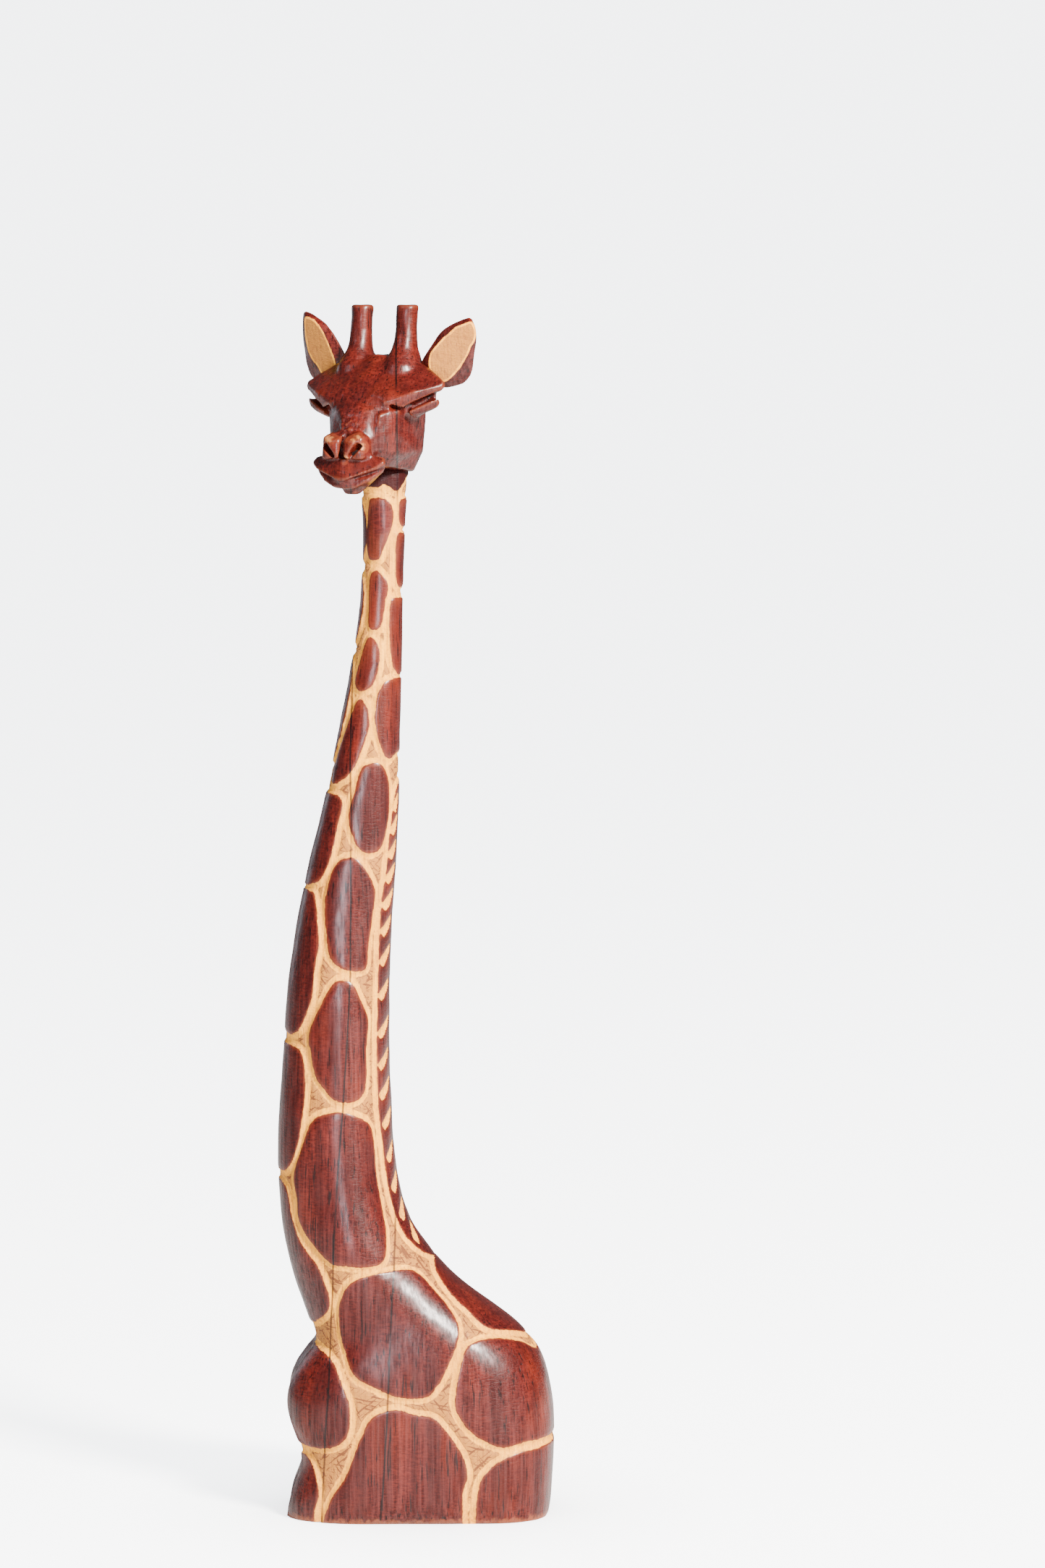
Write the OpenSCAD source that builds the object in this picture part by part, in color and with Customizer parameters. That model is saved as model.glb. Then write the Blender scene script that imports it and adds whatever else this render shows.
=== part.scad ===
// Carved giraffe statue: a seated giraffe with folded forelegs, a long tapering
// neck and a head turned towards its left side. +X is the rump end, -X the chest
// end, the giraffe's left flank faces -Y, and Z runs up from the resting plane.

/* [Base and body] */
// Length of the carved block at the base, chest to rump
base_length = 66; // [60:1:72]
// Width of the carved block at the base, flank to flank
base_width = 43; // [38:1:48]
// Depth of the groove between the two folded forelegs
leg_groove_depth = 4.5; // [1:0.5:6]
// Width of the groove between the two folded forelegs
leg_groove_width = 6; // [3:0.5:9]

/* [Head] */
// Turn of the head from straight across the left flank, towards the chest
head_turn = 28; // [0:1:45]
// Width across the tips of the brows
brow_width = 38; // [32:1:40]
// Width of the lips
lip_width = 20; // [16:0.5:22]
// Height of the horns above the crown of the skull
horn_length = 13; // [9:0.5:14]
// Diameter at the top of a horn
horn_d = 4.8; // [4:0.1:5.5]
// Distance between the two horns
horn_spacing = 12.6; // [11:0.1:14]

/* [Ears] */
// Length of an ear from its shoulder to its tip
ear_length = 18.5; // [16:0.5:20]
// Width of an ear at its widest
ear_width = 12; // [9:0.5:13]
// Thickness of an ear
ear_thickness = 3; // [2.4:0.1:3.4]

/* [Joints] */
// Diameter of the hidden dowel between the neck and the head
dowel_d = 4; // [3:0.5:5]
// Length of the hidden dowel
dowel_length = 20; // [14:1:22]
// Diameter of the round tenon on each ear
tenon_d = 2.4; // [2:0.1:2.8]
// Length of the round tenon on each ear
tenon_length = 4; // [3:0.5:5]
// Glue clearance round a dowel or a tenon
glue_gap = 0.05; // [0.02:0.01:0.1]

/* [Hidden] */

stain = [0.42, 0.13, 0.09];
pale_wood = [0.86, 0.72, 0.48];

drawn_length = 66;
drawn_width = 43;

// Height, chest edge, back edge, half width, squareness of the chest side and
// of the back side of each cross-section, from the base to the top of the neck
STATIONS = [
    [0, -33, 32, 20.5, 3.4, 3.2],
    [3, -33, 32.6, 21.2, 3.4, 3.2],
    [9, -31.2, 33, 21.5, 3.4, 3.2],
    [15, -29.2, 33.3, 21.5, 3.4, 3.2],
    [21, -31.2, 33.4, 21.5, 3.4, 3.1],
    [28, -32.9, 33.2, 21.4, 3.2, 3],
    [34, -32.3, 32.2, 21.1, 3, 2.9],
    [39, -29.8, 30.8, 20.7, 3, 2.7],
    [43, -27.2, 28.7, 20.2, 3, 2.5],
    [47, -27.2, 25, 19.7, 2.8, 2.4],
    [52, -28.7, 18.4, 19, 2.6, 2.3],
    [58, -30.6, 9.8, 18, 2.5, 2.3],
    [65, -32.6, 3.2, 16.9, 2.4, 2.3],
    [74, -34.2, -2.9, 15.6, 2.4, 2.3],
    [86, -35, -6.2, 14.2, 2.4, 2.3],
    [100, -34.9, -7.4, 13, 2.4, 2.3],
    [116, -33.6, -8, 12.2, 2.4, 2.3],
    [132, -32.6, -8, 11.5, 2.4, 2.3],
    [148, -30.3, -7.4, 10.7, 2.3, 2.2],
    [164, -27, -6.3, 9.6, 2.3, 2.2],
    [180, -22.9, -5.6, 8.3, 2.3, 2.2],
    [196, -19.5, -5.4, 7, 2.2, 2.2],
    [212, -16.3, -5, 5.9, 2.2, 2.2],
    [228, -13.8, -4.7, 5, 2.2, 2.2],
    [243, -12.8, -4.3, 4.6, 2.2, 2.2],
    [253, -12.9, -3.9, 4.7, 2.2, 2.2],
    [262, -13.4, -3.1, 5, 2.2, 2.2]
];
ring_step = 4;
ring_points = 36;
neck_top = STATIONS[len(STATIONS) - 1][0];
neck_axis = [-8.4, 0];

// Heights on the head
jaw_height = neck_top;
chin_height = 256;
lip_height = 262.5;
nose_height = 268;
eye_height = 278;
brow_height = 283.5;
crown_height = 290.5;
muzzle_reach = 22.5;
brow_reach = 7;
horn_setback = -1.5;

// Where the ears sit, in the head's own directions
ear_root = [brow_width / 2 - 4.6, 0, 284.5];
ear_lean = 30;
ear_back_turn = 25;

// One ear's outline as shares of its width and its length
EAR_OUTLINE = [
    [-0.22, 0], [0.22, 0], [0.44, 0.18], [0.5, 0.4], [0.44, 0.62], [0.26, 0.84],
    [0, 1], [-0.26, 0.84], [-0.44, 0.62], [-0.5, 0.4], [-0.44, 0.18]
];

// Smooth curve through four neighbouring rows of stations
function between(a, b, c, d, t) =
    0.5 * (2 * b + t * (c - a) + t * t * (2 * a - 5 * b + 4 * c - d)
    + t * t * t * (3 * b - a - 3 * c + d));

function row_below(z, i = 0) =
    i >= len(STATIONS) - 2 || z < STATIONS[i + 1][0] ? i : row_below(z, i + 1);

function station_at(z) =
    let (
        last = len(STATIONS) - 1,
        i = row_below(z),
        t = (z - STATIONS[i][0]) / (STATIONS[i + 1][0] - STATIONS[i][0])
    )
    between(
        STATIONS[max(i - 1, 0)], STATIONS[i], STATIONS[i + 1],
        STATIONS[min(i + 2, last)], t
    );

function signed_power(value, power) = sign(value) * pow(abs(value), power);

// The groove between the forelegs fades out at the knees
function groove_at(y, z) =
    z > 46 ? 0
    : leg_groove_depth * min(1, (46 - z) / 6)
    * exp(-pow(2 * y / leg_groove_width, 2));

function ring_point(row, z, angle) =
    let (
        x_scale = base_length / drawn_length,
        y_scale = base_width / drawn_width,
        middle = (row[1] + row[2]) / 2,
        reach = (row[2] - row[1]) / 2,
        squareness = cos(angle) < 0 ? row[4] : row[5],
        x = middle + reach * signed_power(cos(angle), 2 / squareness),
        y = row[3] * signed_power(sin(angle), 2 / squareness),
        groove = cos(angle) < 0 ? groove_at(y, z) : 0
    )
    [x * x_scale + groove, y * y_scale, z];

ring_count = ceil(neck_top / ring_step);
BODY_POINTS = [
    for (i = [0 : ring_count])
        let (z = neck_top * i / ring_count, row = station_at(z))
        for (j = [0 : ring_points - 1])
            ring_point(row, z, 360 * j / ring_points)
];

function corner(i, j) = i * ring_points + j % ring_points;

BODY_FACES = concat(
    [[for (j = [0 : ring_points - 1]) corner(0, j)]],
    [
        for (i = [0 : ring_count - 1], j = [0 : ring_points - 1], half = [0, 1])
            half == 0
                ? [corner(i, j), corner(i + 1, j), corner(i + 1, j + 1)]
                : [corner(i, j), corner(i + 1, j + 1), corner(i, j + 1)]
    ],
    [[for (j = [ring_points - 1 : -1 : 0]) corner(ring_count, j)]]
);

// The head's own directions: X across the face, -Y out of the face
module head_place() {
    translate([neck_axis[0], neck_axis[1], 0])
        rotate([0, 0, -head_turn])
            children();
}

module ear_place(side) {
    head_place()
        translate([side * ear_root[0], ear_root[1], ear_root[2]])
            rotate([0, side * ear_lean, 0])
                rotate([0, 0, side * ear_back_turn])
                    children();
}

// A block given by its size and by the centre of its lower face
module block(width, length, height) {
    translate([0, 0, height / 2])
        cube([width, length, height], center = true);
}

module skull() {
    hull() {
        translate([0, 0, crown_height - 2])
            block(17, 10, 2);
        translate([0, 0, brow_height - 2])
            block(27, 13, 5);
        translate([0, 0, eye_height - 6])
            block(23, 13, 3);
        translate([0, 0, jaw_height])
            block(14, 12, 2);
    }
}

module brows() {
    hull() {
        translate([0, 1.7 - brow_reach, brow_height - 1.5])
            block(brow_width, 3.4, 3);
        translate([0, 4 - brow_reach, brow_height + 3])
            block(15, 6, 4);
        translate([0, 0, brow_height - 2])
            block(brow_width - 8, 6, 4);
    }
}

module face() {
    hull() {
        translate([0, 1 - brow_reach, brow_height + 1])
            block(12, 4, 4);
        translate([0, -brow_reach, eye_height - 6])
            block(20, 6, 8);
        translate([0, 6 - muzzle_reach, nose_height])
            block(11, 6, 4);
        translate([0, 8 - muzzle_reach, lip_height - 2])
            block(12, 8, 4);
        translate([0, -4, jaw_height + 1])
            block(14, 4, 4);
    }
}

module nose() {
    hull() {
        translate([0, 2 - muzzle_reach, nose_height - 2.5])
            block(11, 4, 5);
        translate([0, 5 - muzzle_reach, lip_height - 2])
            block(13, 6, 4);
    }
}

module lips() {
    hull() {
        translate([0, 5.5 - muzzle_reach, lip_height - 1.2])
            block(lip_width, 7, 2.4);
        translate([0, 5.5 - muzzle_reach, lip_height - 4])
            block(lip_width - 7, 10, 2);
        translate([0, 7 - muzzle_reach, chin_height])
            block(6, 5, 1);
    }
}

module horn(side) {
    translate([side * horn_spacing / 2, horn_setback, crown_height]) {
        cylinder(d = horn_d, h = horn_length, $fn = 32);
        translate([0, 0, -3])
            cylinder(d1 = horn_d + 5, d2 = horn_d, h = 7, $fn = 32);
    }
}

module ear_socket(side) {
    ear_place(side)
        translate([0, 0, -tenon_length - 0.5])
            cylinder(d = tenon_d + 2 * glue_gap, h = tenon_length + 1, $fn = 32);
}

module ear(side) {
    ear_place(side) {
        translate([0, ear_thickness / 2, 0])
            rotate([90, 0, 0])
                linear_extrude(height = ear_thickness)
                    scale([ear_width, ear_length])
                        polygon(EAR_OUTLINE);
        translate([0, 0, -tenon_length])
            cylinder(d = tenon_d, h = tenon_length + 2, $fn = 32);
    }
}

module carved_body() {
    color(stain)
        difference() {
            polyhedron(points = BODY_POINTS, faces = BODY_FACES, convexity = 6);
            translate([neck_axis[0], neck_axis[1], neck_top - dowel_length / 2])
                cylinder(d = dowel_d + 2 * glue_gap, h = dowel_length, $fn = 32);
        }
}

module head() {
    color(stain)
        difference() {
            union() {
                head_place() {
                    skull();
                    brows();
                    face();
                    nose();
                    lips();
                    horn(-1);
                    horn(1);
                }
            }
            translate([neck_axis[0], neck_axis[1], neck_top - 1])
                cylinder(d = dowel_d + 2 * glue_gap, h = dowel_length / 2 + 1, $fn = 32);
            ear_socket(-1);
            ear_socket(1);
        }
}

module neck_dowel() {
    color(pale_wood)
        translate([neck_axis[0], neck_axis[1], neck_top - dowel_length / 2])
            cylinder(d = dowel_d, h = dowel_length, $fn = 32);
}

module ear_left() {
    color(pale_wood) ear(1);
}

module ear_right() {
    color(pale_wood) ear(-1);
}

carved_body();
head();
neck_dowel();
ear_left();
ear_right();
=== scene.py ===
"""A seated giraffe carved from pale wood, stained red-brown and varnished, with the lines
between its spots gouged back to the bare wood. Metres, Z up, chest towards -X, left flank
towards -Y."""

import math
from contextlib import contextmanager

import bpy
import numpy as np
from mathutils import Matrix, Vector, kdtree, noise
from mathutils.bvhtree import BVHTree


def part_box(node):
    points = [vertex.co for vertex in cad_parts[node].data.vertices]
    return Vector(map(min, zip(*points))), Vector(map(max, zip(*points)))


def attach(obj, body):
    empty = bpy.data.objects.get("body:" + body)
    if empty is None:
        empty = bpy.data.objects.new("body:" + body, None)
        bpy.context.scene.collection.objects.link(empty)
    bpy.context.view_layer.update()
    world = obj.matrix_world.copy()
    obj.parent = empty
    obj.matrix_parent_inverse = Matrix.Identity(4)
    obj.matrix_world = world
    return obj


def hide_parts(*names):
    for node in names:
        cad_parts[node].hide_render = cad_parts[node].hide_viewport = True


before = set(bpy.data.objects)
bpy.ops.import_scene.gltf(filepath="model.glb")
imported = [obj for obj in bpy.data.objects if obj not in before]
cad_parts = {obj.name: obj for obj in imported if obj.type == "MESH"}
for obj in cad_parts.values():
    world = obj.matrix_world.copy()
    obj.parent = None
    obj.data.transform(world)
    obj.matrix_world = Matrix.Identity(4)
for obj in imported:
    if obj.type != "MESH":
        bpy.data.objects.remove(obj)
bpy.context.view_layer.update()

MM = 0.001
dowel_low, dowel_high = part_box("neck_dowel")
NECK_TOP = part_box("carved_body")[1].z
NECK_AXIS = (dowel_low + dowel_high) / 2
HEAD_TURN = math.radians(28)


# ---------------------------------------------------------------- modelling helpers

def deselect_all():
    bpy.ops.object.select_all(action="DESELECT")


def make_active(piece):
    deselect_all()
    piece.select_set(True)
    bpy.context.view_layer.objects.active = piece


def in_scene(name, data):
    """A new object in the scene that holds the given data."""
    made = bpy.data.objects.new(name, data)
    bpy.context.scene.collection.objects.link(made)
    return made


def new_piece(name, places, faces=()):
    mesh = bpy.data.meshes.new(name)
    mesh.from_pydata(places, [], faces)
    return in_scene(name, mesh)


@contextmanager
def editing(piece):
    """Edit mode on one piece, with all of it selected to begin with."""
    make_active(piece)
    bpy.ops.object.mode_set(mode="EDIT")
    bpy.ops.mesh.select_all(action="SELECT")
    yield
    bpy.ops.object.mode_set(mode="OBJECT")


def face_outwards():
    bpy.ops.mesh.select_all(action="SELECT")
    bpy.ops.mesh.normals_make_consistent(inside=False)


def copy_of_node(node, name):
    """A free piece with its own copy of a CAD node's mesh, doubles merged."""
    piece = in_scene(name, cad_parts[node].data.copy())
    piece.data.materials.clear()
    with editing(piece):
        bpy.ops.mesh.remove_doubles(threshold=0.001 * MM)
        bpy.ops.mesh.tris_convert_to_quads()
    return piece


def apply_modifier(piece, kind, **settings):
    make_active(piece)
    modifier = piece.modifiers.new(kind.title(), kind)
    for key, value in settings.items():
        setattr(modifier, key, value)
    bpy.ops.object.modifier_apply(modifier=modifier.name)


def voxel_remesh(piece, voxel):
    apply_modifier(piece, "REMESH", mode="VOXEL", voxel_size=voxel, use_smooth_shade=True)


def relax(piece, passes):
    apply_modifier(piece, "SMOOTH", factor=0.5, iterations=passes)


def subdivide_smooth(piece):
    apply_modifier(piece, "SUBSURF", levels=1, render_levels=1)


def places_of(piece):
    places = np.empty(len(piece.data.vertices) * 3)
    piece.data.vertices.foreach_get("co", places)
    return places.reshape(-1, 3)


def normals_of(piece):
    normals = np.empty(len(piece.data.vertices) * 3)
    piece.data.vertices.foreach_get("normal", normals)
    return normals.reshape(-1, 3)


def put_places(piece, places):
    piece.data.vertices.foreach_set("co", places.ravel())
    piece.data.update()


def put_attribute(piece, name, values):
    attribute = piece.data.attributes.new(name, "FLOAT", "POINT")
    attribute.data.foreach_set("value", np.asarray(values, dtype=np.float32))


# A sharp edge counts as standing out by no more than this, in millimetres
RIDGE_LIMIT = 0.32


def put_ridge(piece, passes, worn=0):
    """How far, in millimetres, each place stands out of its surroundings: more than 0 on
    an edge and less than 0 in a hollow. Worn counts extra where hands have rubbed."""
    places = places_of(piece)
    pairs = np.empty(len(piece.data.edges) * 2, dtype=np.int64)
    piece.data.edges.foreach_get("vertices", pairs)
    first, second = pairs.reshape(-1, 2).T
    ends = np.concatenate([first, second])
    others = np.concatenate([second, first])
    count = np.bincount(ends, minlength=len(places))
    softened = places.copy()
    for _ in range(passes):
        around = np.stack(
            [np.bincount(ends, softened[others, i], len(places)) for i in range(3)], axis=1
        )
        softened = (softened + around / count[:, None]) / 2
    stands_out = np.sum((places - softened) * normals_of(piece), axis=1) / MM
    put_attribute(piece, "ridge", np.minimum(stands_out, RIDGE_LIMIT) + worn)


def shade_smooth(piece):
    piece.data.polygons.foreach_set("use_smooth", [True] * len(piece.data.polygons))


def smooth_step(low, high, value):
    t = np.clip((value - low) / (high - low), 0, 1)
    return t * t * (3 - 2 * t)


# ---------------------------------------------------------------- the giraffe's pattern

# Outlines in the side view: (x, z) in millimetres, each a closed smooth curve. A point
# beyond the chest or the back carries the spot round to the other flank.
SIDE_SPOTS = {
    "throat_1": [(-12.5, 253.5), (-11.7, 255.2), (-8.7, 255), (-6.9, 253), (-6.8, 249.5),
                 (-8.2, 245.5), (-9.6, 242), (-10.4, 240.4), (-12.6, 240.8), (-13, 246)],
    "throat_2": [(-12.3, 235), (-11.4, 237.2), (-10.1, 236.8), (-8.1, 234), (-8.9, 229),
                 (-9.9, 223.8), (-12.4, 223.3), (-12.5, 229)],
    "throat_3": [(-13.3, 219.5), (-12.1, 220.7), (-10.3, 218), (-10.5, 213), (-12.1, 209),
                 (-14.7, 207.7), (-16, 209.5), (-15, 214)],
    "throat_4": [(-15.1, 205.2), (-13, 202.2), (-13.2, 197.5), (-15.2, 191.5),
                 (-17.5, 187.2), (-21.5, 184.4), (-21.9, 186.5), (-20.3, 192), (-17.7, 199.5)],
    "throat_5": [(-22, 181.5), (-20, 180.8), (-19.5, 178.5), (-20.6, 174.5), (-21.6, 169.5),
                 (-22.8, 165), (-24.2, 162), (-26.2, 159.8), (-32, 159.5), (-34, 170),
                 (-30, 182)],
    "throat_6": [(-27.5, 157.3), (-26.3, 155.3), (-25.7, 150), (-25.4, 144.5),
                 (-26.3, 139), (-27, 132), (-28.4, 127.5), (-30.7, 122.8), (-34, 122.5),
                 (-40, 130), (-40, 150), (-34, 158)],
    "throat_7": [(-32, 118.6), (-29.7, 117), (-28.9, 111), (-29.2, 104), (-30.4, 96),
                 (-32.3, 90), (-35, 87.5), (-42, 90), (-42, 116), (-36, 119)],
    "throat_8": [(-35.5, 84.6), (-33.3, 82), (-32.4, 76.5), (-30, 69.8), (-26, 64.5),
                 (-24, 60), (-22.7, 54.5), (-25.4, 50.7), (-29, 49.3), (-40, 52),
                 (-44, 70), (-40, 84)],
    "knee": [(-25.3, 42.8), (-21.8, 40.3), (-19.8, 35.5), (-18.1, 31.3), (-17.6, 27),
             (-18.5, 22.3), (-21.3, 19.7), (-25.5, 19), (-30, 19.3), (-40, 20), (-44, 32),
             (-38, 44), (-30, 44.5)],
    "shin": [(-30, 16.4), (-27.5, 14.8), (-25.9, 10.2), (-25.6, 6.8), (-26.6, 3), (-28, -2),
             (-38, -4), (-44, 6), (-38, 16)],
    "shoulder_blade": [(-27.2, 99.5), (-24.5, 101.8), (-20, 102.7), (-15.4, 101.4),
                       (-12.5, 99), (-11.5, 93), (-11, 87), (-9.3, 77), (-8.6, 73),
                       (-9.1, 66.2), (-13.5, 64.8), (-18, 65), (-22, 65.5), (-26.3, 69.5),
                       (-30, 75), (-30.6, 81), (-31.4, 86.5), (-29.5, 93)],
    "neck_1": [(-14.8, 187), (-13.5, 188.8), (-10, 189.2), (-8.2, 186), (-7.7, 181.5),
               (-8, 176), (-9.3, 170), (-10.8, 167.8), (-13.6, 167.6), (-15.9, 170),
               (-17.3, 174.5), (-17.3, 178), (-16, 182.5)],
    "neck_2": [(-21.6, 162.6), (-20, 165), (-17, 166), (-14.5, 164.2), (-12.5, 161),
               (-11.3, 157), (-12.2, 150), (-13.1, 143.7), (-13.5, 138.8), (-17, 138.3),
               (-20, 139.3), (-22.2, 141.7), (-23.1, 147.5), (-23.5, 154.5), (-22.7, 159)],
    "neck_3": [(-21.6, 134.5), (-19, 135.5), (-16.7, 134.5), (-15, 131), (-13.1, 125.5),
               (-13.5, 118.4), (-13.5, 111.2), (-14.5, 106.8), (-18, 105.5), (-21.4, 106.3),
               (-23.6, 108.7), (-25.8, 111.7), (-26.8, 116.7), (-27.5, 122), (-25.3, 127.7)],
    "nape_1": [(-9.8, 207.6), (-7.4, 210), (-3, 210), (2, 206), (2, 196), (-5.5, 192.4),
               (-7.3, 190.9), (-8.7, 191.7), (-10.2, 196), (-10.9, 201.5)],
    "nape_2": [(-7.1, 229), (-5.4, 230.4), (0, 230), (2, 226), (2, 216), (-4, 212),
               (-5.6, 212), (-6.7, 214.8), (-7.3, 221)],
    "nape_3": [(-5.6, 245.6), (-4, 246.6), (2, 245), (2, 235), (-4, 233.4), (-5.5, 234.4),
               (-5.8, 240)],
    "nape_4": [(-5, 252.8), (-4.3, 255), (0, 255), (2, 250), (-3, 248.4), (-4.8, 249.2)],
    "shoulder": [(-3.6, 63.3), (0, 61.7), (3.5, 58), (7, 54), (9.4, 49.5), (8.9, 45),
                 (6.8, 40), (3.8, 34.6), (0.8, 32.4), (-5.5, 32.6), (-11, 34.8),
                 (-16.2, 37.7), (-18.5, 43.5), (-19.7, 48), (-19.9, 54.5), (-17.6, 59.8),
                 (-12.5, 62.2)],
    "rump": [(12.3, 44.6), (18, 46), (25, 44.4), (30, 41), (38, 37), (46, 30), (38, 22),
             (31, 21), (26, 20.6), (20.5, 19.7), (14.4, 22.5), (10.8, 26.3), (9.1, 30.2),
             (9.5, 35.4), (10.6, 40.5)],
    "belly": [(-6.4, 28.9), (-1, 27.6), (3.4, 26.8), (7.1, 22.7), (10.6, 17.2),
              (11.6, 12.6), (10.5, 8), (10.3, 0), (9, -6), (-24, -6), (-24.3, -1),
              (-21.8, 6.4), (-18.2, 12.2), (-14.6, 21.5), (-11.8, 26.8)],
    "haunch": [(40, 18), (28, 18), (22.5, 16.8), (17.9, 14.2), (15, 9.8), (14.2, 0),
               (16, -6), (40, -6), (46, 6)],
    "loin": [(3.8, 63), (5, 66), (14, 68), (32, 58), (35, 46), (29.5, 43.9), (23.7, 46.9),
             (16.6, 48.9), (12.4, 52.5), (7.3, 57.5)],
    "collar": [(-15, 258.6), (-12.6, 258.5), (-10.4, 258.3), (-9, 259.2), (-7.4, 258.5),
               (-5.6, 257.5), (-4, 259.4), (-2.4, 262), (2, 266), (2, 280), (-20, 280),
               (-20, 260)],
}

# Small spots up the middle of the throat, in the front view: half width, then the
# heights of the bottom and the top
THROAT_SPOTS = [
    (3, 190, 216),
    (2.6, 219.5, 236.5),
    (2.4, 240, 255),
]

# The mane's half width at heights up the back of the neck
MANE = [
    (0.5, 64.8), (6.5, 66.5), (9.4, 70), (9.6, 76), (8.8, 90), (9.2, 105), (8.6, 127),
    (7.5, 150), (6.2, 163), (5.3, 174), (3.6, 182), (0.5, 184.5)
]
# Heights of the outer ends of the notches cut across each side of the mane
MANE_NOTCHES = [
    69.5, 75.5, 82.5, 90, 98.5, 106, 113.5, 121.5, 131, 139.5, 147, 153.5, 160, 166, 172,
    177.5
]
NOTCH_RISE = 4.6
NOTCH_WIDTH = 3
# How far inside the mane's edge the notches start: heights, then insets
NOTCH_INSET = ((64, 110), (2, 0.3))

SPOT_MARGIN = 0.25
# A gouge follows the edge of each spot; what is left between three gouges stays higher
CHANNEL_EDGE = (1.35, 2)
LAND_SHARE = 0.35
GROOVE_DEPTH = 0.55
NOTCH_DEPTH = 0.5
GROOVE_SHOULDER = 0.7
PILLOW_RISE = 0.1
PILLOW_EDGE = 2
# Points along the edge of a spot are this far apart
EDGE_GAP = 0.3
# The spot attribute runs from minus this, in bare wood, to this, in stained wood
SPOT_LIMIT = 4
# Outlines are dropped on the surface from this far away
FAR_AWAY = 200


def closed_curve(points, steps=10):
    """A smooth closed curve through given points."""
    points = np.array(points, dtype=float)
    before = np.roll(points, 1, axis=0)
    after = np.roll(points, -1, axis=0)
    beyond = np.roll(points, -2, axis=0)
    curve = []
    for a, b, c, d in zip(before, points, after, beyond):
        for t in np.arange(steps) / steps:
            line = 2 * b + t * (c - a)
            bend = t * t * (2 * a - 5 * b + 4 * c - d)
            twist = t ** 3 * (3 * b - a - 3 * c + d)
            curve.append(0.5 * (line + bend + twist))
    return np.array(curve)


def evenly_spaced(curve, count=None):
    """Even points along a closed curve: so many in all, or else at the usual gap."""
    loop = np.vstack([curve, curve[:1]])
    lengths = np.linalg.norm(np.diff(loop, axis=0), axis=1)
    along = np.concatenate([[0], np.cumsum(lengths)])
    at = np.arange(count) / count * along[-1] if count else np.arange(0, along[-1], EDGE_GAP)
    return np.stack([np.interp(at, along, loop[:, i]) for i in (0, 1)], axis=1)


def inside(curve, places):
    """Which of the places lie inside a closed curve, both in two dimensions."""
    within = np.zeros(len(places), dtype=bool)
    low, high = curve.min(0), curve.max(0)
    near = np.all((places >= low) & (places <= high), axis=1)
    x, y = places[near].T
    odd = np.zeros(len(x), dtype=bool)
    for (x0, y0), (x1, y1) in zip(curve, np.roll(curve, -1, axis=0)):
        if y0 != y1:
            crosses = (y0 > y) != (y1 > y)
            odd ^= crosses & (x < (x1 - x0) * (y - y0) / (y1 - y0) + x0)
    within[near] = odd
    return within


def distances_to(points, places):
    """How far each place is from the nearest of the points."""
    tree = kdtree.KDTree(len(points))
    for i, point in enumerate(points):
        tree.insert(point, i)
    tree.balance()
    return np.array([tree.find(place)[2] for place in places])


def leaf(start, end, width):
    """A slim leaf outline from start to end."""
    start, end = np.array(start), np.array(end)
    along = end - start
    across = np.array([-along[1], along[0]]) / np.linalg.norm(along) * width / 2
    shares = [(0.04, 0.8), (0.3, 1), (0.75, 0.7)]
    upper = [start + along * t + across * w for t, w in shares]
    lower = [start + along * t - across * w for t, w in reversed(shares)]
    return [start, *upper, end, *lower]


class SpotEdges:
    """The edges of all the spots, drawn on the surface of a piece."""

    def __init__(self, piece):
        self.surface = BVHTree.FromPolygons(
            [v.co for v in piece.data.vertices], [p.vertices for p in piece.data.polygons]
        )
        self.points = []

    def drop(self, outline, origin_of, direction):
        """Drops an outline on the surface along one direction."""
        for a, b in outline:
            hit = self.surface.ray_cast(Vector(origin_of(a, b)) * MM, Vector(direction))[0]
            if hit is not None:
                self.points.append(hit)


def mane_notches():
    """The outlines of the slanted notches, in the rear view."""
    notches = []
    for height in MANE_NOTCHES:
        reach = np.interp(height, [h for w, h in MANE], [w for w, h in MANE])
        for flank in (-1, 1):
            inset = np.interp(height, *NOTCH_INSET)
            start = (flank * (reach - inset), height - 0.5)
            end = (flank * 1.6, height + NOTCH_RISE)
            notches.append(closed_curve(leaf(start, end, NOTCH_WIDTH)))
    return notches


def throat_outline(half_width, low, high):
    """The outline of a small throat spot, in the front view."""
    step = (high - low) / 4
    return [(0, low), (half_width, low + step), (half_width, high - step), (0, high),
            (-half_width, high - step), (-half_width, low + step)]


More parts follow.
